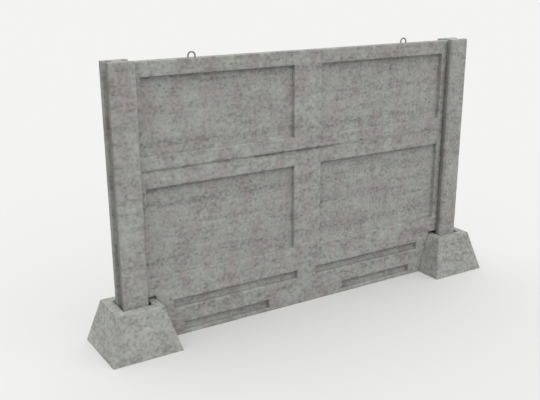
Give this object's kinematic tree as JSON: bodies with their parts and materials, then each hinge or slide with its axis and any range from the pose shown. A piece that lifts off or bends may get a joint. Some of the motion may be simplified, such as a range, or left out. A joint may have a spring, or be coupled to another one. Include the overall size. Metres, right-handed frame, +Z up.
{
  "type": "precast concrete fence wall bay",
  "caption": "One bay of precast concrete wall: grooved posts in pyramid cup footings, stacked recessed panels slotted between them, mortar bed and lifting loops.",
  "frame": {"origin": "on the ground, midway between the two posts and on the footings' centre line", "axes": "+X along the wall, +Y towards its plain back, +Z up"},
  "size_m": [4.715, 0.73, 2.795],
  "materials": {
    "panel_concrete": "cast grey concrete, mottled and pitted, matt",
    "post_concrete": "cast grey concrete, mottled and pitted, matt",
    "footing_concrete": "cast grey concrete, slightly lighter, matt",
    "joint_mortar": "rough cement mortar",
    "loop_steel": "dull round bar, weathered"
  },
  "bodies": {
    "root": {"footing_left": "footing_concrete", "footing_right": "footing_concrete", "post_left": "post_concrete", "post_right": "post_concrete", "panel_lower": "panel_concrete", "panel_upper": "panel_concrete", "mortar_bed": "joint_mortar", "lifting_loop_left": "loop_steel", "lifting_loop_right": "loop_steel"}
  },
  "joints": []
}
